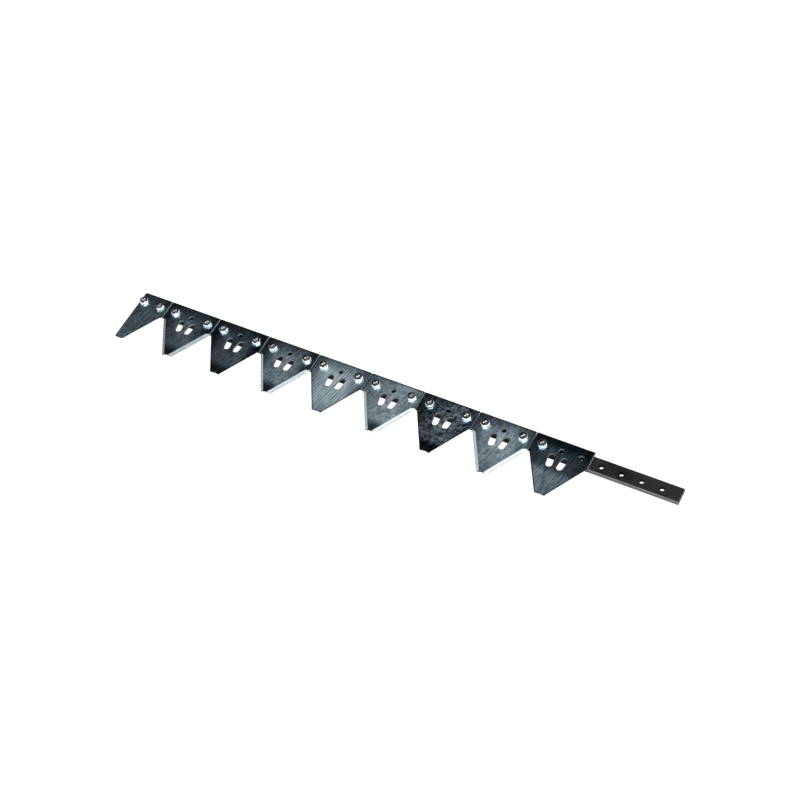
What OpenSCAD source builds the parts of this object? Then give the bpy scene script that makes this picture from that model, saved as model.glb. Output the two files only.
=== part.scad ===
// Mower sickle knife: a flat knife back carrying a row of bolted, serrated cutting sections.
// The sections lie bevel side up and flat side up by turns, and a half section closes the left end.
// Millimetres. +X runs along the knife, -Y points to the cutting tips and +Z is up. The origin lies on
// the underside of the knife back, below the line of bolts, at the middle of the bar's length.

/* [Knife back] */
// Width of the bar, from back to front
bar_w = 20; // [17:0.5:24]
// Thickness of the bar
bar_t = 7; // [5:0.25:9]
// Length of bar left bare past the last section
bare_l = 113; // [100:1:150]
// Chamfer along the bar's long edges
bar_chamfer = 0.3; // [0.2:0.1:1]
// Diameter of the bolt holes in the bar
bar_hole_d = 6.6; // [6.5:0.05:7.2]
// Open holes in the bare end
bare_holes = 4; // [1:1:4]
// Distance from the last section to the first open hole
bare_hole_first = 12.7; // [8:0.1:16]

/* [Sections] */
// Full sections in the row
full_sections = 8; // [2:1:10]
// Distance from one section to the next
section_pitch = 76.2; // [74:0.1:80]
// Gap between neighbouring sections
section_gap = 0.8; // [0.2:0.1:1.2]
// Depth of a section, from its back edge to its tip
section_depth = 78; // [70:0.5:90]
// Thickness of a section
section_t = 3; // [2.5:0.1:4]
// Length of the straight sides behind the cutting edges
land_l = 25.4; // [24:0.1:30]
// Chamfer along the straight sides, on both faces
land_chamfer = 0.5; // [0.2:0.05:0.8]
// Plain edge left between that chamfer and the front of the straight side
land_chamfer_stop = 1; // [0.5:0.1:4]
// Width of the blunt tip
tip_w = 13; // [11:0.1:16]
// Depth of the hollow in the tip
tip_notch_depth = 1.8; // [0.8:0.1:2.4]
// Flat left at each corner of the tip
tip_corner = 1.1; // [0.6:0.1:1.6]
// Distance from the back edge to the line of bolt holes
hole_inset = 13.6; // [12.5:0.1:15]
// Distance between bolt holes along the knife
hole_pitch = 25.4; // [24:0.1:26]
// Diameter of the bolt holes in a section
section_hole_d = 6.8; // [6.5:0.1:7.4]
// How far the half section reaches past its middle hole
half_past = 5.6; // [5:0.1:8]
// Chamfer on the half section's back corner
half_corner = 2; // [0.5:0.1:3]
// How much shorter the half section is than a full one
half_trim = 1.5; // [0:0.1:4]

/* [Clearing slots] */
// Width of a slot
slot_w = 8.3; // [6:0.1:9.5]
// Length of a slot, end to end
slot_l = 18.6; // [14:0.1:24]
// Distance from the section's middle line to the middle of a slot
slot_offset = 7.6; // [7:0.1:10]
// Distance from the back edge to the middle of a slot
slot_inset = 30.2; // [29:0.1:33]
// Lean of a slot towards the tip
slot_lean = 8; // [0:0.5:12]

/* [Cutting edges] */
// Width of the ground bevel
bevel_w = 4; // [3.5:0.1:5]
// Thickness left at the cutting edge
edge_t = 0.4; // [0.2:0.05:0.8]
// Plain edge left between the land and the bevel
bevel_start = 0.3; // [0.2:0.1:1]
// Length over which the back end of the bevel slants in
bevel_runout = 6; // [3:0.5:8]
// Distance from one serration to the next
serration_pitch = 2; // [1.6:0.1:3]
// Width of the serrated band along the edge
serration_w = 2.8; // [2:0.1:3.2]
// Depth of a serration at the edge
serration_depth = 0.75; // [0.4:0.05:0.9]
// Height of the comb that cuts the serrations
serration_comb_h = 1; // [0.95:0.05:1.5]
// Plain edge left behind the first serration
serration_start = 8; // [4:0.5:12]
// Plain edge left in front of the last serration
serration_end = 3; // [2:0.5:6]

/* [Bolts and nuts] */
// Diameter of the bolt
bolt_d = 6; // [5.6:0.05:6.3]
// Diameter of the countersunk bolt head
head_d = 10.6; // [10:0.1:12.5]
// Depth of the head's edge below the underside of the bar
head_recess = 0.2; // [0.1:0.05:0.5]
// Height of the straight rim of the head
head_rim = 0.4; // [0.2:0.05:0.8]
// Clearance between a bolt and what it passes through or seats in
bolt_gap = 0.05; // [0.02:0.01:0.06]
// How far the bolt stands out of the nut
bolt_proud = 0.4; // [0.1:0.1:2]
// Chamfer on the end of the bolt
bolt_chamfer = 0.4; // [0.2:0.05:0.8]
// Width of the driver slot across the end of the bolt
driver_slot_w = 1.2; // [0.8:0.1:1.6]
// Depth of the driver slot
driver_slot_depth = 1.2; // [0.6:0.1:2]
// Width of the nut across its flats
nut_flats = 10; // [9.6:0.1:12]
// Height of the nut
nut_h = 3.8; // [3.2:0.1:6.5]
// Distance from the nut's flats in to its round face
nut_face_gap = 0.25; // [0.1:0.05:0.5]
// Angle of the chamfer on the nut's corners
nut_chamfer_angle = 30; // [20:1:40]
// Step by which each bolt is turned from the one before it
bolt_turn = 37; // [0:1:89]
// Step by which each nut is turned from the one before it
nut_turn = 23; // [0:1:59]

/* [Hidden] */
$fn = 64;
cut = 1;                                           // overshoot of every cutting body
section_w = section_pitch - section_gap;
half_w = section_pitch / 2 + half_past;
row_l = half_w + full_sections * section_pitch;
bar_l = row_l + bare_l;
bar_left = -bar_l / 2;
row_left = bar_left + half_w;                      // joint of the half section and the first full one
section_z = bar_t;
nut_z = bar_t + section_t;
bolt_top = nut_z + nut_h + bolt_proud;

// The cutting edge runs from the front of the land to the corner of the tip
edge_in = section_w / 2 - tip_w / 2;
edge_down = section_depth - land_l;
edge_l = norm([edge_in, edge_down]);
edge_turn = atan2(-edge_down, -edge_in);
bevel_slope = (section_t - edge_t) / bevel_w;
groove_angle = atan((serration_w * bevel_slope + serration_depth) / serration_w);
groove_l = 2 * serration_w / cos(groove_angle);    // runs well past the edge
serrations = floor((edge_l - serration_start - serration_end) / serration_pitch);

// Tip hollow: an arc over the tip between its two corner flats
notch_chord = tip_w - 2 * tip_corner;
notch_r = (pow(notch_chord / 2, 2) + pow(tip_notch_depth, 2)) / (2 * tip_notch_depth);

head_cone_h = (head_d - bolt_d) / 2;               // a right-angled cone
nut_corner_r = nut_flats / sqrt(3);
nut_face_r = nut_flats / 2 - nut_face_gap;
nut_chamfer = (nut_corner_r - nut_face_r) * tan(nut_chamfer_angle);
nut_bore_r = bolt_d / 2 + bolt_gap;

function section_x(i) = row_left + (i + 0.5) * section_pitch;
half_x = row_left - section_pitch / 2;
half_depth = section_depth - half_trim;
half_tip_x = tip_w / 2 + half_trim * edge_in / edge_down;

// Holes that take a fastener, counted from a section's middle hole
function bolted_holes(i) = i == full_sections - 1 ? [-1] : [-1, 1];
half_bolted = [0, 1];

bar_hole_x = concat(
    [for (k = half_bolted) half_x + k * hole_pitch],
    [for (i = [0 : full_sections - 1]) for (k = [-1 : 1]) section_x(i) + k * hole_pitch],
    [for (j = [0 : bare_holes - 1]) bar_left + row_l + bare_hole_first + j * hole_pitch]);

bolt_x = concat(
    [for (k = half_bolted) half_x + k * hole_pitch],
    [for (i = [0 : full_sections - 1]) for (k = bolted_holes(i)) section_x(i) + k * hole_pitch]);

// Knife back: a flat bar with chamfered long edges, drilled all along, countersunk below each bolt
module knife_back() {
    c = bar_chamfer;
    w = bar_w / 2;
    color("#4a4640")
        difference() {
            translate([bar_left, 0, 0])
                rotate([90, 0, 90])
                    linear_extrude(height = bar_l)
                        polygon([[c - w, 0], [w - c, 0], [w, c], [w, bar_t - c],
                                 [w - c, bar_t], [c - w, bar_t], [-w, bar_t - c], [-w, c]]);
            for (x = bar_hole_x)
                translate([x, 0, -cut])
                    cylinder(d = bar_hole_d, h = bar_t + 2 * cut);
            for (x = bolt_x)
                translate([x, 0, 0])
                    countersink();
        }
}

// Conical seat for a bolt head, opening downwards
module countersink() {
    r = head_d / 2 + bolt_gap;
    rim = head_recess + head_rim;
    translate([0, 0, -cut])
        cylinder(r = r, h = rim + cut);
    translate([0, 0, rim])
        cylinder(r1 = r, r2 = 0, h = r);
}

// Outline of a full section, middle line on X = 0 and back edge on Y = 0
module full_outline() {
    polygon([[-section_w / 2, 0], [section_w / 2, 0], [section_w / 2, -land_l],
             [tip_w / 2, -section_depth], [-tip_w / 2, -section_depth], [-section_w / 2, -land_l]]);
}

// Outline of the half section, cut off square just past its middle line
module half_outline() {
    polygon([[half_corner - half_past, 0], [section_w / 2, 0], [section_w / 2, -land_l],
             [half_tip_x, -half_depth], [-half_past, -half_depth], [-half_past, -half_corner]]);
}

// Places its child at the front of the right-hand land, +X along the cutting edge, +Y outwards
module on_right_edge() {
    translate([section_w / 2, -land_l, 0])
        rotate(edge_turn)
            children();
}

// Wedge ground off along the edge, its back end slanting in from near the corner of the land
module bevel_wedge() {
    rise = cut * bevel_slope;
    far = edge_l + 3 * cut;
    slant = bevel_runout / bevel_w;
    intersection() {
        translate([-bevel_runout, 0, 0])
            rotate([90, 0, 90])
                linear_extrude(height = far + bevel_runout)
                    polygon([[-bevel_w - cut, section_t + rise], [cut, edge_t - rise],
                             [cut, section_t + rise]]);
        translate([0, 0, -cut])
            linear_extrude(height = section_t + 3 * cut)
                polygon([[bevel_start - slant * cut, cut], [far, cut], [far, -bevel_w - cut],
                         [bevel_start + slant * (bevel_w + cut), -bevel_w - cut]]);
    }
}

// Comb of V grooves that deepen down the bevel and break the edge into teeth
module serration_comb() {
    h = serration_comb_h;
    p = serration_pitch;
    end = serration_start + serrations * p;
    teeth = [for (k = [0 : serrations - 1]) each [
        [serration_start + k * p, h],
        [serration_start + (k + 0.5) * p, 0]]];
    translate([0, -serration_w, edge_t + serration_w * bevel_slope])
        rotate([90 - groove_angle, 0, 0])
            translate([0, 0, -groove_l])
                linear_extrude(height = groove_l + cut)
                    polygon(concat(teeth, [[end, h], [end, h + cut], [serration_start, h + cut]]));
}

// Square prisms that break both edges of the right-hand straight side
module land_edge_cut() {
    for (z = [0, section_t])
        translate([section_w / 2, cut, z])
            rotate([90, 0, 0])
                linear_extrude(height = cut + land_l - land_chamfer_stop)
                    rotate(45)
                        square(land_chamfer * sqrt(2), center = true);
}

// Oblong slot with round ends, running through the section
module clearing_slot() {
    run = slot_l - slot_w;
    for (s = [-1, 1])
        translate([0, s * run / 2, -cut])
            cylinder(d = slot_w, h = section_t + 2 * cut);
    translate([-slot_w / 2, -run / 2, -cut])
        cube([slot_w, run, section_t + 2 * cut]);
}

module section_hole(k) {
    translate([k * hole_pitch, -hole_inset, -cut])
        cylinder(d = section_hole_d, h = section_t + 2 * cut);
}

// Full section with its bevel side up
module full_section() {
    difference() {
        linear_extrude(height = section_t)
            full_outline();
        for (k = [-1 : 1])
            section_hole(k);
        for (s = [-1, 1])
            translate([s * slot_offset, -slot_inset, 0])
                rotate(-s * slot_lean)
                    clearing_slot();
        translate([0, tip_notch_depth - section_depth - notch_r, -cut])
            cylinder(r = notch_r, h = section_t + 2 * cut);
        for (s = [0, 1])
            mirror([s, 0, 0]) {
                land_edge_cut();
                on_right_edge() {
                    bevel_wedge();
                    serration_comb();
                }
            }
    }
}

// Half section with its bevel side up, cutting on its right-hand edge
module half_section_bevel_up() {
    difference() {
        linear_extrude(height = section_t)
            half_outline();
        for (k = half_bolted)
            section_hole(k);
        land_edge_cut();
        on_right_edge() {
            bevel_wedge();
            serration_comb();
        }
    }
}

// Full sections alternate: even ones lie bevel side up, odd ones are turned over
module section(i) {
    color(i % 2 == 0 ? "#3f474f" : "#4d565e")
        translate([section_x(i), hole_inset, section_z])
            if (i % 2 == 0)
                full_section();
            else
                translate([0, 0, section_t])
                    rotate([0, 180, 0])
                        full_section();
}

// The half section lies flat side up
module half_section() {
    color("#454e55")
        translate([half_x, hole_inset, section_z + section_t])
            mirror([0, 0, 1])
                half_section_bevel_up();
}

// Countersunk bolt, put in from below, with a driver slot across its upper end
module bolt() {
    r = bolt_d / 2;
    rim = head_recess + head_rim;
    color("#b9bdc0")
        difference() {
            rotate_extrude()
                polygon([[0, head_recess], [head_d / 2, head_recess], [head_d / 2, rim],
                         [r, rim + head_cone_h], [r, bolt_top - bolt_chamfer],
                         [r - bolt_chamfer, bolt_top], [0, bolt_top]]);
            translate([-r - cut, -driver_slot_w / 2, bolt_top - driver_slot_depth])
                cube([bolt_d + 2 * cut, driver_slot_w, driver_slot_depth + cut]);
        }
}

// Hexagon nut, chamfered at both faces
module nut() {
    color("#c9cdd0")
        difference() {
            intersection() {
                cylinder(r = nut_corner_r, h = nut_h, $fn = 6);
                rotate_extrude()
                    polygon([[0, 0], [nut_face_r, 0], [nut_corner_r, nut_chamfer],
                             [nut_corner_r, nut_h - nut_chamfer], [nut_face_r, nut_h], [0, nut_h]]);
            }
            translate([0, 0, -cut])
                cylinder(r = nut_bore_r, h = nut_h + 2 * cut);
        }
}

// Children at each fastener of one section, turned by a step from one to the next
module at_fasteners(x, holes, first, turn) {
    for (n = [0 : len(holes) - 1])
        translate([x + holes[n] * hole_pitch, 0, 0])
            rotate((first + n) * turn)
                children();
}

module bolts(x, holes, first) {
    at_fasteners(x, holes, first, bolt_turn)
        bolt();
}

module nuts(x, holes, first) {
    at_fasteners(x, holes, first, nut_turn)
        translate([0, 0, nut_z])
            nut();
}

knife_back();
half_section();
bolts(half_x, half_bolted, 0);  // half_section_bolts
nuts(half_x, half_bolted, 0);  // half_section_nuts
for (i = [0 : full_sections - 1]) {
    name = str("section_", i + 1);
    x = section_x(i);
    holes = bolted_holes(i);
    first = 2 * (i + 1);
    section(i);
    bolts(x, holes, first);
    nuts(x, holes, first);
}
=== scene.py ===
"""Finishes, light and camera for a mower sickle knife: dark polished sections with bright ground edges,
bolted to a dark rolled bar with bright zinc nuts."""
import math
from collections import namedtuple

import bpy
from mathutils import Matrix, Vector


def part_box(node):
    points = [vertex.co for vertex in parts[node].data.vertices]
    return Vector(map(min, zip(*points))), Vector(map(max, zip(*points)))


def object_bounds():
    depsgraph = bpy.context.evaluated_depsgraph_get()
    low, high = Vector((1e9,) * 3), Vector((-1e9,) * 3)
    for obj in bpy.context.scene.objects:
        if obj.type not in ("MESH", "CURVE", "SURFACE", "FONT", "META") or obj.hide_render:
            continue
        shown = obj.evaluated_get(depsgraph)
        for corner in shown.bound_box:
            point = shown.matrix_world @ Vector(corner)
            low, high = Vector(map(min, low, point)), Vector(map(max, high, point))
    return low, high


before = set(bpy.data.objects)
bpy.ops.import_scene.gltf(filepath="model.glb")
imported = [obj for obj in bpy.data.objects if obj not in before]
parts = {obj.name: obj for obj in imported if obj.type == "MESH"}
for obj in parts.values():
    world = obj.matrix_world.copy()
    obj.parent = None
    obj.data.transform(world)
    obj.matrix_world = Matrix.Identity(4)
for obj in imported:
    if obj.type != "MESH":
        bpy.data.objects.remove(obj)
cad_low, cad_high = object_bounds()
bpy.ops.object.select_all(action="DESELECT")

MM = 0.001

# Places on the knife: X runs along it, and the tips point to -Y
bar_low, bar_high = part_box("knife_back")
last_low, last_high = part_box("section_8")
BACK_Y = last_high.y
TIP_Y = last_low.y
LAND_LENGTH = 25.4 * MM
LAND_Y = BACK_Y - LAND_LENGTH
HALF_WIDTH = (last_high.x - last_low.x) / 2
TIP_HALF_WIDTH = 6.5 * MM
LAST_MIDDLE_X = (last_low.x + last_high.x) / 2
BARE_END_X = last_high.x + 1.75 * MM
HOLE_PITCH = 25.4 * MM

# Where the painted light and shade of a section's face changes along Y
BACK_FADE = (-8 * MM, 12 * MM)
NOSE_FADE = (-36 * MM, -24 * MM)
TIP_FADE = (-58 * MM, -44 * MM)
RIDGE_FRONT_FADE = (-34 * MM, -26 * MM)
RIDGE_BACK_FADE = (-8 * MM, 4 * MM)

# Where it changes to both sides of the middle line
RIDGE_SIDE_FADE = (2 * MM, 9 * MM)
CORNER_FADE = (14 * MM, 34 * MM)
LEAN_FADE = (-20 * MM, 20 * MM)

# Where the painted shade along an edge and the bevels' painted highlight change, inwards from the edge
EDGE_FADE = (0.4 * MM, 2.4 * MM)
EDGE_SHADE_TONE = 0.08
BEVEL_FADE = (3 * MM, 4.6 * MM)
BEVEL_INNER_SHINE = 0.42

# Colours, each pair from its darker to its lighter places
POLISHED_SHADE_TO_LIGHT = ((0.235, 0.385, 0.49, 1.0), (0.615, 0.79, 0.895, 1.0))
TEMPER_VIOLET = (1.0, 0.86, 0.98, 1.0)
GROUND = ((0.26, 0.31, 0.33, 1.0), (0.42, 0.48, 0.5, 1.0))
LAND_CHAMFER = (0.1, 0.127, 0.14, 1.0)
CUT = ((0.2, 0.225, 0.24, 1.0), (0.34, 0.375, 0.395, 1.0))
PAINTED_SHADE_TIP = (0.015, 0.016, 0.018, 1.0)
BAR_SCALE = ((0.004, 0.0038, 0.0034, 1.0), (0.02, 0.0185, 0.017, 1.0))
BAR_PAINTED_LIGHT = ((0.18, 0.18, 0.18, 1.0), (0.28, 0.28, 0.28, 1.0))
ZINC_BRIGHT = ((0.94, 0.91, 0.88, 1.0), (1.0, 0.97, 0.94, 1.0))
ZINC_PAINTED_SHADE = ((0.1, 0.115, 0.12, 1.0), (0.2, 0.22, 0.23, 1.0))
BOLT_DULL = ((0.1, 0.11, 0.115, 1.0), (0.2, 0.215, 0.22, 1.0))
BOLT_PAINTED_HIGHLIGHT = ((0.8, 0.82, 0.83, 1.0), (0.95, 0.96, 0.97, 1.0))

# Painted light and shade of a flat face, as tones from 0 for blue-black to 1 for bright: at the back edge,
# around the slots, on the nose and at the tip, with a painted highlight added on the ridge between the slots.
# Then what the corners keep, how much lighter the right is painted than the left, the strength of grain, belt
# passes, blotches and violet temper, and the bevels' painted highlight
Look = namedtuple(
    "Look",
    "back slots nose tip ridge corners lean grain passes blotches temper left_bevel right_bevel",
    defaults=(0.8, 0.1, 0.3, 0.2, 0.9, 0.9))
SECTION_LOOKS = {
    "half_section": Look(back=0.24, slots=0.43, nose=0.46, tip=0.5, ridge=0.0, corners=0.8, lean=0.02,
                         blotches=0.4, temper=0.1),
    "section_1": Look(back=0.2, slots=0.42, nose=0.43, tip=0.03, ridge=0.17, corners=0.1, lean=0.1,
                      grain=0.5, passes=0.05, blotches=0.45, right_bevel=0.62),
    "section_2": Look(back=0.13, slots=0.37, nose=0.41, tip=0.0, ridge=-0.12, corners=-0.2, lean=0.08,
                      passes=0.4),
    "section_3": Look(back=0.4, slots=0.72, nose=0.77, tip=0.08, ridge=0.1, corners=0.2, lean=0.08,
                      grain=0.55, passes=0.05, blotches=0.45, left_bevel=1.33, right_bevel=0.7),
    "section_4": Look(back=0.68, slots=1.22, nose=1.25, tip=0.92, ridge=0.1, corners=0.5, lean=0.04,
                      grain=0.5, passes=0.55, blotches=0.0),
    "section_5": Look(back=0.89, slots=0.9, nose=0.98, tip=0.2, ridge=0.12, corners=0.75, lean=0.12,
                      grain=0.55, passes=0.05, blotches=0.45, left_bevel=1.25, right_bevel=0.82),
    "section_6": Look(back=0.44, slots=0.47, nose=0.45, tip=-0.12, ridge=0.14, corners=0.4, lean=0.22,
                      grain=0.6, blotches=1.25, temper=0.5),
    "section_7": Look(back=0.5, slots=0.89, nose=0.86, tip=0.56, ridge=0.23, corners=0.55, lean=0.1,
                      grain=0.6, passes=0.05, blotches=0.45, left_bevel=1.35, right_bevel=0.98),
    "section_8": Look(back=-0.08, slots=0.25, nose=0.68, tip=0.66, ridge=0.03, corners=0.5, lean=-0.12,
                      passes=0.42, blotches=0.2, temper=0.1),
}

# How far the patterns are moved on from one section to the next
PATTERN_STEP = 0.37

# Light of the backdrop as the camera sees it
PAPER_WHITE = 1.25


# Node helpers

def add(tree, kind, **settings):
    """Adds a node and sets its plain properties."""
    item = tree.nodes.new(kind)
    for key, value in settings.items():
        setattr(item, key, value)
    return item


def feed(tree, socket, value):
    """Links a socket to another one, or sets it to a value."""
    if isinstance(value, bpy.types.NodeSocket):
        tree.links.new(value, socket)
    else:
        socket.default_value = value


def sums(tree, operation, a, b=0.0, c=0.0, clamp=False):
    """One step of arithmetic."""
    item = add(tree, "ShaderNodeMath", operation=operation, use_clamp=clamp)
    for socket, value in zip(item.inputs, (a, b, c)):
        feed(tree, socket, value)
    return item.outputs[0]


def between(tree, mask, a, b):
    """Runs from a to b as the mask runs from 0 to 1."""
    return sums(tree, "MULTIPLY_ADD", mask, sums(tree, "SUBTRACT", b, a), a)


def spread(tree, value, low, high, to_low=0.0, to_high=1.0, smooth=True):
    """Maps low..high to another range, held at both ends."""
    item = add(tree, "ShaderNodeMapRange", interpolation_type="SMOOTHSTEP" if smooth else "LINEAR")
    settings = {"Value": value, "From Min": low, "From Max": high, "To Min": to_low, "To Max": to_high}
    for name, setting in settings.items():
        feed(tree, item.inputs[name], setting)
    return item.outputs[0]


def blend_colour(tree, factor, a, b, kind="MIX"):
    """Mixes two colours. The Mix node's colour sockets come after those for numbers and vectors."""
    factor_socket = 0
    colour_a = 6
    colour_b = 7
    colour_out = 2
    item = add(tree, "ShaderNodeMix", data_type="RGBA", blend_type=kind)
    feed(tree, item.inputs[factor_socket], factor)
    feed(tree, item.inputs[colour_a], a)
    feed(tree, item.inputs[colour_b], b)
    return item.outputs[colour_out]


def split_axes(tree, vector):
    """The X, Y and Z of a vector."""
    item = add(tree, "ShaderNodeSeparateXYZ")
    tree.links.new(vector, item.inputs[0])
    return item.outputs


def noise(tree, vector, scale, detail=3.0, rough=0.5, twist=0.0):
    """Cloudy noise with so many patches to the metre."""
    item = add(tree, "ShaderNodeTexNoise")
    feed(tree, item.inputs["Vector"], vector)
    item.inputs["Scale"].default_value = scale
    item.inputs["Detail"].default_value = detail
    item.inputs["Roughness"].default_value = rough
    item.inputs["Distortion"].default_value = twist
    return item.outputs[0]


def streaks(tree, vector, per_metre, detail=3.0, rough=0.5):
    """Noise drawn out into streaks, with its own count of patches to the metre along each axis."""
    item = add(tree, "ShaderNodeVectorMath", operation="MULTIPLY")
    feed(tree, item.inputs[0], vector)
    item.inputs[1].default_value = per_metre
    return noise(tree, item.outputs[0], 1.0, detail, rough)


def new_group(name, inputs, outputs):
    """Starts a shader node group with named sockets and returns its tree, input node and output node."""
    tree = bpy.data.node_groups.new(name, "ShaderNodeTree")
    for label, kind, value in inputs:
        socket = tree.interface.new_socket(name=label, in_out="INPUT", socket_type="NodeSocket" + kind)
        if value is not None:
            socket.default_value = value
    for label, kind in outputs:
        tree.interface.new_socket(name=label, in_out="OUTPUT", socket_type="NodeSocket" + kind)
    return tree, tree.nodes.new("NodeGroupInput"), tree.nodes.new("NodeGroupOutput")


def place_group(tree, group, **values):
    """Places a group in a material and feeds its named inputs."""
    item = tree.nodes.new("ShaderNodeGroup")
    item.node_tree = group
    item.label = group.name
    for key, value in values.items():
        feed(tree, item.inputs[key], value)
    return item.outputs


# Effects that several finishes share

def make_face_zones():
    """Tells flat faces, ground bevels and cut walls apart by how far a face leans."""
    flat_from = (0.95, 0.985)
    cut_to = (0.2, 0.35)
    tree, into, out = new_group("face zones", [("Normal", "Vector", None)],
                                [("Flat", "Float"), ("Ground", "Float"), ("Cut", "Float")])
    lean = sums(tree, "ABSOLUTE", split_axes(tree, into.outputs["Normal"])["Z"])
    flat = spread(tree, lean, *flat_from)
    cut = spread(tree, lean, *cut_to, 1.0, 0.0)
    ground = sums(tree, "SUBTRACT", sums(tree, "SUBTRACT", 1.0, flat), cut, clamp=True)
    for name, value in (("Flat", flat), ("Ground", ground), ("Cut", cut)):
        tree.links.new(value, out.inputs[name])
    return tree


def make_grinding_lines():
    """Long fine scratches, and coarser, evenly spaced passes of a grinding belt, both a little askew to Y."""
    askew = math.radians(12.0)
    wander_of_a_pass = 1.3
    passes_per_metre = 279.0
    tree, into, out = new_group("grinding lines",
                                [("Position", "Vector", None), ("Passes", "Float", passes_per_metre)],
                                [("Fine", "Float"), ("Coarse", "Float")])
    turned = add(tree, "ShaderNodeVectorRotate", rotation_type="Z_AXIS")
    turned.inputs["Angle"].default_value = askew
    tree.links.new(into.outputs["Position"], turned.inputs["Vector"])
    spot = turned.outputs[0]
    fine = streaks(tree, spot, (400.0, 45.0, 300.0), detail=4.0, rough=0.7)
    wander = streaks(tree, spot, (60.0, 14.0, 40.0), detail=2.0)
    broken = streaks(tree, spot, (300.0, 60.0, 200.0), detail=3.0, rough=0.65)
    phase = sums(tree, "MULTIPLY_ADD", split_axes(tree, spot)["X"], into.outputs["Passes"],
                 sums(tree, "MULTIPLY", wander, wander_of_a_pass))
    wave = sums(tree, "SINE", sums(tree, "MULTIPLY", phase, math.tau))
    coarse = sums(tree, "MULTIPLY", spread(tree, wave, -0.8, 0.9), spread(tree, broken, 0.3, 0.6))
    tree.links.new(spread(tree, fine, 0.35, 0.68), out.inputs["Fine"])
    tree.links.new(coarse, out.inputs["Coarse"])
    return tree


def make_oil_clouds():
    """Soft light and dark patches, and smaller, harder blotches."""
    tree, into, out = new_group("oil clouds", [("Position", "Vector", None)],
                                [("Clouds", "Float"), ("Blotches", "Float")])
    spot = into.outputs["Position"]
    clouds = noise(tree, spot, 34.0, detail=3.0, rough=0.55, twist=0.4)
    blotches = noise(tree, spot, 240.0, detail=4.0, rough=0.62, twist=0.6)
    tree.links.new(spread(tree, clouds, 0.32, 0.68), out.inputs["Clouds"])
    tree.links.new(spread(tree, blotches, 0.42, 0.62), out.inputs["Blotches"])
    return tree


FACE_ZONES = make_face_zones()
GRINDING_LINES = make_grinding_lines()
OIL_CLOUDS = make_oil_clouds()


# Finishes

def start_finish(name, centre_x=0.0, shift=0.0):
    """A new material with its node tree, its shader and the position on the part."""
    finish = bpy.data.materials.new(name)
    finish.use_nodes = True
    tree = finish.node_tree
    coord = add(tree, "ShaderNodeTexCoord")
    centred = add(tree, "ShaderNodeMapping", vector_type="POINT")
    tree.links.new(coord.outputs["Object"], centred.inputs["Vector"])
    centred.inputs["Location"].default_value = (-centre_x, 0.0, shift)
    return finish, tree, tree.nodes["Principled BSDF"], centred.outputs[0]


def find_zones(tree):
    """Masks for the flat, ground and cut faces of a piece."""
    geometry = add(tree, "ShaderNodeNewGeometry")
    return place_group(tree, FACE_ZONES, Normal=geometry.outputs["True Normal"])


def raise_surface(tree, shader, height, strength, distance):
    """Raises the surface a little where the height is more."""
    bump = add(tree, "ShaderNodeBump")
    bump.inputs["Strength"].default_value = strength
    bump.inputs["Distance"].default_value = distance
    feed(tree, bump.inputs["Height"], height)
    tree.links.new(bump.outputs[0], shader.inputs["Normal"])


def run_to_cutting_edge(tree, x, y):
    """How far a place lies from the cutting edge, measured along the knife."""
    reach = spread(tree, y, TIP_Y, LAND_Y, TIP_HALF_WIDTH, HALF_WIDTH, smooth=False)
    return sums(tree, "SUBTRACT", reach, sums(tree, "ABSOLUTE", x))


def painted_light_of_place(tree, x, y, look):
    """Painted light and shade of a flat face by place: from the back edge to the tip, less at corners and
    along every edge.
    """
    off_middle = sums(tree, "ABSOLUTE", x)
    tone = spread(tree, y, *BACK_FADE, look.slots, look.back)
    tone = sums(tree, "ADD", tone, spread(tree, y, *NOSE_FADE, look.nose - look.slots, 0.0))
    tone = sums(tree, "ADD", tone, spread(tree, y, *TIP_FADE, look.tip - look.nose, 0.0))
    tone = sums(tree, "MULTIPLY", tone, spread(tree, off_middle, *CORNER_FADE, 1.0, look.corners))
    tone = sums(tree, "MULTIPLY", tone, spread(tree, x, *LEAN_FADE, 1.0 - look.lean, 1.0 + look.lean))
    ridge = spread(tree, off_middle, *RIDGE_SIDE_FADE, look.ridge, 0.0)
    ridge = sums(tree, "MULTIPLY", ridge, spread(tree, y, *RIDGE_FRONT_FADE))
    ridge = sums(tree, "MULTIPLY", ridge, spread(tree, y, *RIDGE_BACK_FADE, 1.0, 0.0))
    tone = sums(tree, "ADD", tone, ridge)
    # Painted shade: the face is darker along the cutting edge and the back edge
    to_edge = sums(tree, "MINIMUM", run_to_cutting_edge(tree, x, y), sums(tree, "SUBTRACT", BACK_Y, y))
    return sums(tree, "MULTIPLY", tone, spread(tree, to_edge, *EDGE_FADE, EDGE_SHADE_TONE, 1.0))


def polish_flat(tree, tone, belt, film, look):
    """Colour of a flat face: its painted light and shade, a breath of temper colour, and the marks of belt
    and oil.
    """
    darkest = 0.1
    steel = blend_colour(tree, tone, *POLISHED_SHADE_TO_LIGHT)
    temper = sums(tree, "MULTIPLY", film["Clouds"], look.temper)
    steel = blend_colour(tree, temper, steel, TEMPER_VIOLET, kind="MULTIPLY")
    shine = 1.0
    for marks, middle, strength in ((belt["Fine"], 0.5, look.grain), (belt["Coarse"], 0.35, look.passes),
                                    (film["Blotches"], 0.5, look.blotches)):
        shine = sums(tree, "MULTIPLY_ADD", sums(tree, "SUBTRACT", marks, middle), strength, shine)
    return blend_colour(tree, 1.0, steel, sums(tree, "MAXIMUM", shine, darkest), kind="MULTIPLY")


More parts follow.
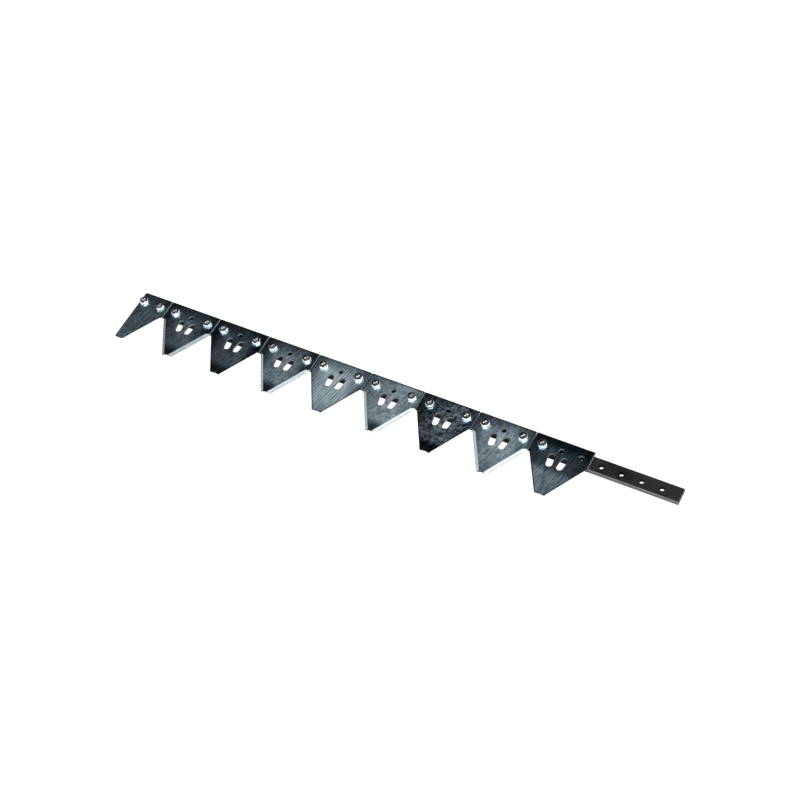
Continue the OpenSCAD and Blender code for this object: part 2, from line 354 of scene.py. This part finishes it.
def grind_bevel(tree, marks, x, y, look):
    """Colour of a bevel: bright steel marked by the wheel, with a painted highlight set per side and fading
    inwards, dull on the land's chamfer.
    """
    ground = blend_colour(tree, spread(tree, marks, 0.3, 0.7), *GROUND)
    # Painted highlight: the left and right bevels are each painted to their own brightness
    shine = spread(tree, x, -2 * MM, 2 * MM, look.left_bevel, look.right_bevel)
    inwards = run_to_cutting_edge(tree, x, y)
    shine = sums(tree, "MULTIPLY", shine, spread(tree, inwards, *BEVEL_FADE, 1.0, BEVEL_INNER_SHINE))
    ground = blend_colour(tree, 1.0, ground, shine, kind="MULTIPLY")
    on_land = spread(tree, y, LAND_Y - 1 * MM, LAND_Y + 2 * MM)
    return blend_colour(tree, on_land, ground, LAND_CHAMFER)


def cut_wall(tree, spot, y):
    """Colour of a cut wall: bare steel, painted black around the tip as painted shade."""
    grain = streaks(tree, spot, (700.0, 700.0, 160.0), rough=0.6)
    # Painted shade: the walls around the tip are painted black
    at_tip = spread(tree, y, TIP_Y + 5 * MM, TIP_Y + 8 * MM, 1.0, 0.0)
    return blend_colour(tree, at_tip, blend_colour(tree, grain, *CUT), PAINTED_SHADE_TIP)


def make_blade_finish(name, centre_x, look, shift):
    """Polished section steel: flats painted blue-black to bright as light and shade, ground bevels with a
    painted highlight, bare cut walls and a black tip of painted shade.
    """
    smoothest = 0.16
    rougher_by = 0.32
    ground_rough = 0.34
    cut_rough = 0.4
    cut_metallic = 0.25
    finish, tree, shader, spot = start_finish(name, centre_x, shift)
    zones = find_zones(tree)
    belt = place_group(tree, GRINDING_LINES, Position=spot)
    film = place_group(tree, OIL_CLOUDS, Position=spot)
    wheel = streaks(tree, spot, (1500.0, 500.0, 900.0), rough=0.6)
    place = split_axes(tree, spot)
    x, y = place["X"], place["Y"]

    # Painted light and shade: the tone by place stands in for how light falls on the face and what it mirrors
    tone = painted_light_of_place(tree, x, y, look)
    tone = sums(tree, "MULTIPLY_ADD", sums(tree, "SUBTRACT", film["Clouds"], 0.5), 0.1, tone)
    tone = sums(tree, "MAXIMUM", tone, 0.0)
    colour = polish_flat(tree, tone, belt, film, look)
    colour = blend_colour(tree, zones["Ground"], colour, grind_bevel(tree, wheel, x, y, look))
    colour = blend_colour(tree, zones["Cut"], colour, cut_wall(tree, spot, y))
    tree.links.new(colour, shader.inputs["Base Color"])

    rough = sums(tree, "MULTIPLY_ADD", sums(tree, "POWER", tone, 0.6), rougher_by, smoothest)
    rough = between(tree, zones["Ground"], rough, ground_rough)
    rough = between(tree, zones["Cut"], rough, cut_rough)
    tree.links.new(rough, shader.inputs["Roughness"])
    metallic = sums(tree, "MULTIPLY_ADD", zones["Cut"], cut_metallic - 1.0, 1.0)
    tree.links.new(metallic, shader.inputs["Metallic"])

    height = sums(tree, "MULTIPLY_ADD", belt["Coarse"], 0.6, belt["Fine"])
    height = sums(tree, "MULTIPLY", height, zones["Flat"])
    height = sums(tree, "MULTIPLY_ADD", wheel, zones["Ground"], height)
    raise_surface(tree, shader, height, strength=0.05, distance=0.05 * MM)
    return finish


def make_bar_finish():
    """Rolled flat bar: black scale, with painted light: light grey on the front and end faces of its bare
    end.
    """
    painted_light_metallic = 0.3
    sawn_share = 0.6
    finish, tree, shader, spot = start_finish("rolled bar")
    film = place_group(tree, OIL_CLOUDS, Position=spot)
    place = split_axes(tree, spot)
    pits = noise(tree, spot, 700.0, detail=4.0, rough=0.6)
    rolled = streaks(tree, spot, (40.0, 900.0, 900.0), rough=0.55)
    tone = sums(tree, "MULTIPLY_ADD", film["Clouds"], 0.4, sums(tree, "MULTIPLY", pits, 0.8))
    scale = blend_colour(tree, spread(tree, tone, 0.25, 0.85), *BAR_SCALE)
    painted_light_grey = blend_colour(tree, spread(tree, rolled, 0.3, 0.7), *BAR_PAINTED_LIGHT)

    # Painted light: the bare end's front and end faces are painted light grey; under the sections they stay
    # black as painted shade
    front = spread(tree, place["Y"], bar_low.y + 0.3 * MM, bar_low.y + 0.6 * MM, 1.0, 0.0)
    sawn = spread(tree, place["X"], bar_high.x - 0.3 * MM, bar_high.x - 0.1 * MM)
    bare_end = spread(tree, place["X"], BARE_END_X - 4 * MM, BARE_END_X)
    side = sums(tree, "MAXIMUM", front, sums(tree, "MULTIPLY", sawn, sawn_share))
    side = sums(tree, "MULTIPLY", side, bare_end)
    tree.links.new(blend_colour(tree, side, scale, painted_light_grey), shader.inputs["Base Color"])
    tree.links.new(sums(tree, "MULTIPLY", side, painted_light_metallic), shader.inputs["Metallic"])
    tree.links.new(spread(tree, tone, 0.2, 0.9, 0.55, 0.42, smooth=False), shader.inputs["Roughness"])
    shader.inputs["Specular IOR Level"].default_value = 0.2
    raise_surface(tree, shader, sums(tree, "ADD", pits, rolled), strength=0.18, distance=0.06 * MM)
    return finish


def make_zinc_finish():
    """Bright zinc plate on the nuts, with a faint spangle; end faces and their chamfers are painted dark as
    painted shade.
    """
    plated_metallic = 0.55
    finish, tree, shader, spot = start_finish("bright zinc")
    zones = find_zones(tree)
    spangle = noise(tree, spot, 900.0, detail=3.0, rough=0.55)
    fleck = spread(tree, spangle, 0.3, 0.7)
    bright = blend_colour(tree, fleck, *ZINC_BRIGHT)
    shaded_tops = blend_colour(tree, fleck, *ZINC_PAINTED_SHADE)
    # Painted shade: end faces and chamfers are dark, the upright sides keep the bright zinc
    tree.links.new(blend_colour(tree, zones["Cut"], shaded_tops, bright), shader.inputs["Base Color"])
    tree.links.new(spread(tree, spangle, 0.3, 0.7, 0.3, 0.22), shader.inputs["Roughness"])
    tree.links.new(spread(tree, zones["Cut"], 0.0, 1.0, 1.0, plated_metallic), shader.inputs["Metallic"])
    raise_surface(tree, shader, spangle, strength=0.05, distance=0.03 * MM)
    return finish


def make_bolt_finish():
    """Turned bolt steel: dull, with a painted highlight as a bright band across the end of each bolt."""
    band_angle = math.radians(53.0)
    band_fade = (0.6 * MM, 1.3 * MM)
    dull_rough = 0.2
    highlight_rough = 0.55
    highlight_metallic = 0.3
    finish, tree, shader, spot = start_finish("bolt steel")
    zones = find_zones(tree)
    turned = noise(tree, spot, 1800.0, detail=3.0, rough=0.6)
    grain = spread(tree, turned, 0.32, 0.68)
    place = split_axes(tree, spot)
    # Painted highlight: a light band across each bolt's end, at the same angle on every bolt
    from_hole = sums(tree, "SUBTRACT", place["X"], LAST_MIDDLE_X)
    from_hole = sums(tree, "WRAP", from_hole, HOLE_PITCH / 2, -HOLE_PITCH / 2)
    across = sums(tree, "MULTIPLY_ADD", place["Y"], math.cos(band_angle),
                  sums(tree, "MULTIPLY", from_hole, -math.sin(band_angle)))
    painted_highlight = spread(tree, sums(tree, "ABSOLUTE", across), *band_fade, 1.0, 0.0)
    painted_highlight = sums(tree, "MULTIPLY", painted_highlight, zones["Flat"])
    dull = blend_colour(tree, grain, *BOLT_DULL)
    bright = blend_colour(tree, grain, *BOLT_PAINTED_HIGHLIGHT)
    tree.links.new(blend_colour(tree, painted_highlight, dull, bright), shader.inputs["Base Color"])
    tree.links.new(spread(tree, painted_highlight, 0.0, 1.0, dull_rough, highlight_rough), shader.inputs["Roughness"])
    tree.links.new(spread(tree, painted_highlight, 0.0, 1.0, 1.0, highlight_metallic), shader.inputs["Metallic"])
    raise_surface(tree, shader, turned, strength=0.08, distance=0.03 * MM)
    return finish


def dress(node, finish):
    """Gives a piece its finish."""
    part = parts[node]
    part.data.materials.clear()
    part.data.materials.append(finish)


zinc = make_zinc_finish()
bolt_steel = make_bolt_finish()
dress("knife_back", make_bar_finish())
for order, (piece, look) in enumerate(SECTION_LOOKS.items()):
    middle_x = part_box(piece)[1].x - HALF_WIDTH
    steel_name = piece.replace("_", " ") + " steel"
    dress(piece, make_blade_finish(steel_name, middle_x, look, PATTERN_STEP * order))
    dress(piece + "_nuts", zinc)
    dress(piece + "_bolts", bolt_steel)


# Floor, light and camera

def make_floor():
    """Pale paper just under the knife, plain white to the camera and dull to everything else."""
    width = 14.0
    drop = 0.2 * MM
    grey = (0.3, 0.3, 0.3, 1.0)
    bpy.ops.mesh.primitive_plane_add(size=width, location=(0.0, 0.0, cad_low.z - drop))
    floor = bpy.context.active_object
    floor.name = "floor"
    paper = bpy.data.materials.new("pale paper")
    paper.use_nodes = True
    tree = paper.node_tree
    tree.nodes.clear()
    out = add(tree, "ShaderNodeOutputMaterial")
    mixed = add(tree, "ShaderNodeMixShader")
    path = add(tree, "ShaderNodeLightPath")
    dull = add(tree, "ShaderNodeBsdfDiffuse")
    white = add(tree, "ShaderNodeEmission")
    dull.inputs["Color"].default_value = grey
    white.inputs["Strength"].default_value = PAPER_WHITE
    tree.links.new(path.outputs["Is Camera Ray"], mixed.inputs[0])
    tree.links.new(dull.outputs[0], mixed.inputs[1])
    tree.links.new(white.outputs[0], mixed.inputs[2])
    tree.links.new(mixed.outputs[0], out.inputs["Surface"])
    floor.data.materials.append(paper)


def make_sky(mirrored_way):
    """A bright tent, closed on top, dim at its foot and low in front, and dark where flat faces mirror it."""
    tent_light = 2.5
    faint_light = 0.015
    mirrored_fade = (0.55, 0.9)
    top_fade = (0.83, 0.92)
    foot_fade = (0.1, 0.45)
    foot_share = 0.35
    front_fade = (-0.55, -0.25)
    front_height = (0.5, 0.68)
    front_loss = 0.85
    world = bpy.data.worlds.new("light tent")
    bpy.context.scene.world = world
    world.use_nodes = True
    tree = world.node_tree
    tree.nodes.clear()
    out = add(tree, "ShaderNodeOutputWorld")
    sky = add(tree, "ShaderNodeBackground")
    coord = add(tree, "ShaderNodeTexCoord")
    way = split_axes(tree, coord.outputs["Generated"])
    near = add(tree, "ShaderNodeVectorMath", operation="DOT_PRODUCT")
    tree.links.new(coord.outputs["Generated"], near.inputs[0])
    near.inputs[1].default_value = mirrored_way
    tent = spread(tree, near.outputs["Value"], *mirrored_fade, tent_light, 0.0)
    tent = sums(tree, "MULTIPLY", tent, spread(tree, way["Z"], *top_fade, 1.0, 0.0))
    tent = sums(tree, "MULTIPLY", tent, spread(tree, way["Z"], *foot_fade, foot_share, 1.0))
    front = spread(tree, way["Y"], *front_fade, 1.0, 0.0)
    low_front = sums(tree, "MULTIPLY", front, spread(tree, way["Z"], *front_height, front_loss, 0.0))
    tent = sums(tree, "MULTIPLY", tent, sums(tree, "SUBTRACT", 1.0, low_front))
    lit = sums(tree, "ADD", tent, faint_light)
    path = add(tree, "ShaderNodeLightPath")
    tree.links.new(between(tree, path.outputs["Is Camera Ray"], lit, PAPER_WHITE), sky.inputs["Strength"])
    sky.inputs["Color"].default_value = (1.0, 1.0, 1.0, 1.0)
    tree.links.new(sky.outputs[0], out.inputs["Surface"])


def add_softbox(name, direction, aim, distance, width, height, watts):
    """A soft light out in one direction from the aim, turned towards it."""
    lamp = bpy.data.lights.new(name, "AREA")
    lamp.shape = "RECTANGLE"
    lamp.size = width
    lamp.size_y = height
    lamp.energy = watts
    holder = bpy.data.objects.new(name, lamp)
    bpy.context.scene.collection.objects.link(holder)
    holder.location = aim + direction.normalized() * distance
    holder.rotation_euler = direction.to_track_quat("Z", "Y").to_euler()
    holder.visible_camera = False
    return holder


def keep_light_on(holder, name, pieces):
    """Lets a light reach only some pieces, as if flags kept it off the rest."""
    lit = bpy.data.collections.new(name)
    for piece in pieces:
        lit.objects.link(parts[piece])
    holder.light_linking.receiver_collection = lit


def add_camera():
    """Camera of the photograph, fitted to the corners, tips and holes seen in it."""
    azimuth = math.radians(38.988)
    elevation = math.radians(54.244)
    roll = math.radians(-13.451)
    target = Vector((17.144, -8.577, 10.0)) * MM
    distance = 1891.126 * MM
    nudge_right = -0.25 * MM
    nudge_up = -0.62 * MM
    back = Vector((math.sin(azimuth) * math.cos(elevation), -math.cos(azimuth) * math.cos(elevation),
                   math.sin(elevation)))
    right = (-back).cross(Vector((0.0, 0.0, 1.0))).normalized()
    up = right.cross(-back)
    turned_right = right * math.cos(roll) + up * math.sin(roll)
    turned_up = up * math.cos(roll) - right * math.sin(roll)
    lens = bpy.data.cameras.new("camera")
    lens.sensor_width = 36.0
    lens.lens = 68.813
    lens.clip_start = 0.05
    lens.clip_end = 50.0
    holder = bpy.data.objects.new("camera", lens)
    bpy.context.scene.collection.objects.link(holder)
    turn = Matrix((turned_right, turned_up, back)).transposed().to_4x4()
    eye = target + turned_right * nudge_right + turned_up * nudge_up + back * distance
    holder.matrix_world = Matrix.Translation(eye) @ turn
    bpy.context.scene.camera = holder
    return target, back


make_floor()
aim, towards_camera = add_camera()
make_sky((-towards_camera.x, -towards_camera.y, towards_camera.z))
from_right = Vector((0.5, -0.05, 0.86))
low_front = Vector((towards_camera.x, towards_camera.y, 0.15))
add_softbox("softbox right", from_right, aim, distance=1.7, width=1.1, height=0.8, watts=1.6)
add_softbox("softbox front", towards_camera, aim, distance=2.4, width=2.0, height=1.0, watts=28.0)
nut_light = add_softbox("nut light", low_front, aim, distance=2.0, width=1.6, height=0.4, watts=35.0)
keep_light_on(nut_light, "nuts", [piece + "_nuts" for piece in SECTION_LOOKS])
bpy.context.scene.view_settings.view_transform = "Standard"
